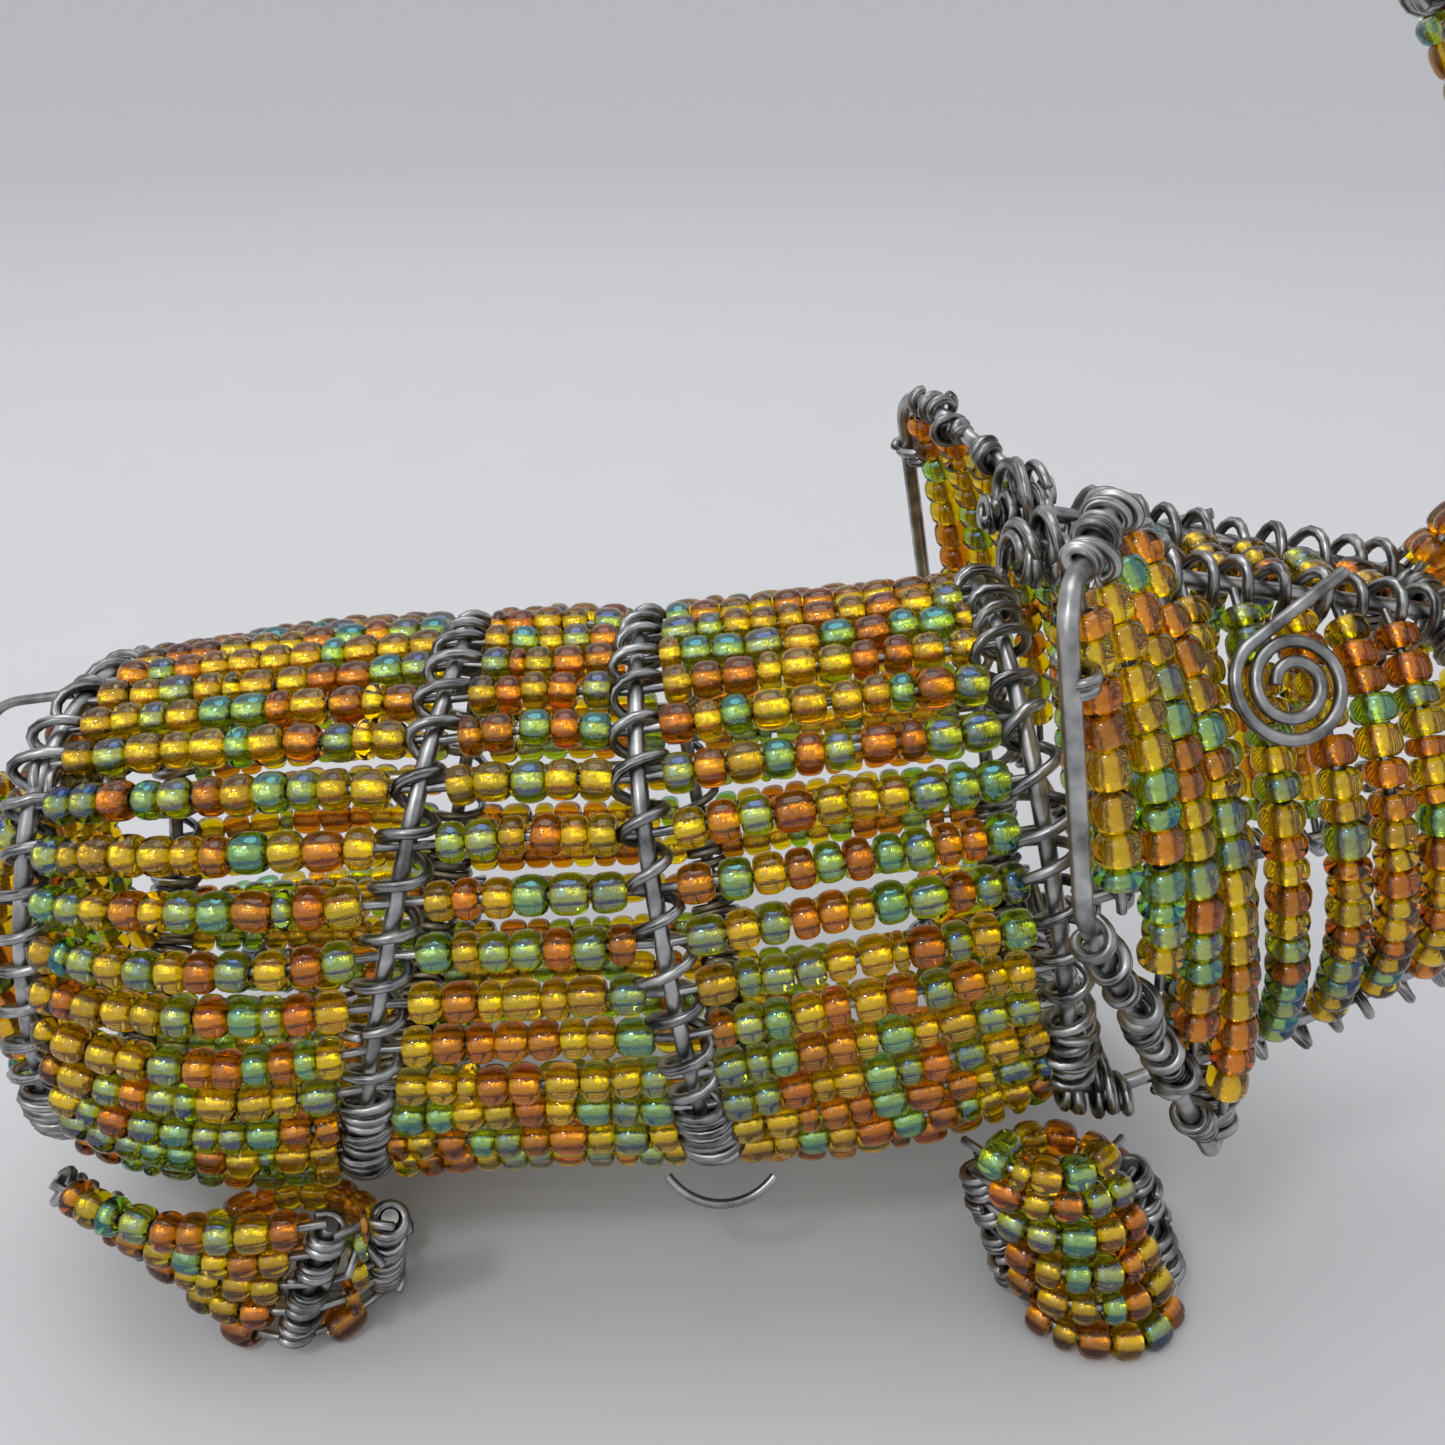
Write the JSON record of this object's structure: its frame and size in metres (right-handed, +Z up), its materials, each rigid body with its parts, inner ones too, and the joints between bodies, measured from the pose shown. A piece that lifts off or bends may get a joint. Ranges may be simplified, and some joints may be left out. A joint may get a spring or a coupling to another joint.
{
  "type": "beaded wire elephant",
  "caption": "Standing elephant figure: a bound wire frame filled with strands of glass beads, with two lashed ears, spiral wire eyes and a raised trunk.",
  "frame": {"origin": "on the ground plane, under the middle of the whole figure", "axes": "+X is forward, towards the trunk, +Y is the animal's left and +Z is up"},
  "size_m": [0.1318, 0.0522, 0.0999],
  "materials": {
    "frame_wire": "satin",
    "binding_wire": "satin",
    "beads": "gloss"
  },
  "bodies": {
    "figure": {"belly_loop": "binding_wire", "crown_strands": "beads", "fore_back_strands": "beads", "fore_belly_strands": "beads", "fore_left_strands": "beads", "fore_right_strands": "beads", "head_rail_wraps": "binding_wire", "left_back_rail": "frame_wire", "left_brow_rail": "frame_wire", "left_ear_lashings": "binding_wire", "left_eye": "binding_wire", "left_front_leg_strands": "beads", "left_front_leg_wire": "frame_wire", "left_head_strands": "beads", "left_jaw_rail": "frame_wire", "left_rear_leg_strands": "beads", "left_rear_leg_wire": "frame_wire", "leg_wraps": "binding_wire", "mid_back_strands": "beads", "mid_belly_strands": "beads", "mid_hoop": "frame_wire", "mid_hoop_wraps": "binding_wire", "mid_left_strands": "beads", "mid_right_strands": "beads", "neck_hoop": "frame_wire", "neck_hoop_wraps": "binding_wire", "rear_hoop": "frame_wire", "rear_hoop_wraps": "binding_wire", "right_back_rail": "frame_wire", "right_brow_rail": "frame_wire", "right_ear_lashings": "binding_wire", "right_eye": "binding_wire", "right_front_leg_strands": "beads", "right_front_leg_wire": "frame_wire", "right_head_strands": "beads", "right_jaw_rail": "frame_wire", "right_rear_leg_strands": "beads", "right_rear_leg_wire": "frame_wire", "rump_back_strands": "beads", "rump_belly_strands": "beads", "rump_end_strands": "beads", "rump_hoop": "frame_wire", "rump_hoop_wraps": "binding_wire", "rump_left_strands": "beads", "rump_right_strands": "beads", "trunk_bend_hoop": "frame_wire", "trunk_root_hoop": "frame_wire", "trunk_root_strands": "beads", "trunk_tip_hoop": "frame_wire", "trunk_tip_strands": "beads", "trunk_wraps": "binding_wire"},
    "right_ear": {"right_ear_wire": "frame_wire", "right_ear_strands": "beads", "right_ear_wraps": "binding_wire"},
    "left_ear": {"left_ear_wire": "frame_wire", "left_ear_strands": "beads", "left_ear_wraps": "binding_wire"},
    "tail": {"tail_wire": "binding_wire", "tail_beads": "beads"}
  },
  "joints": [
    {"name": "right_ear_hinge", "type": "hinge", "parent": "figure", "child": "right_ear", "pos_m": [0.02085, -0.0086, 0.0613], "axis": [-0.2142, 0.238, 0.9473], "range_deg": [-2, 14]},
    {"name": "left_ear_hinge", "type": "hinge", "parent": "figure", "child": "left_ear", "pos_m": [0.01865, 0.0102, 0.0565], "axis": [0.2971, 0.2228, -0.9285], "range_deg": [-2, 14]},
    {"name": "tail_swing", "type": "hinge", "parent": "figure", "child": "tail", "pos_m": [-0.05353, 0, 0.04662], "axis": [0, 1, 0], "range_deg": [0, 18]}
  ]
}
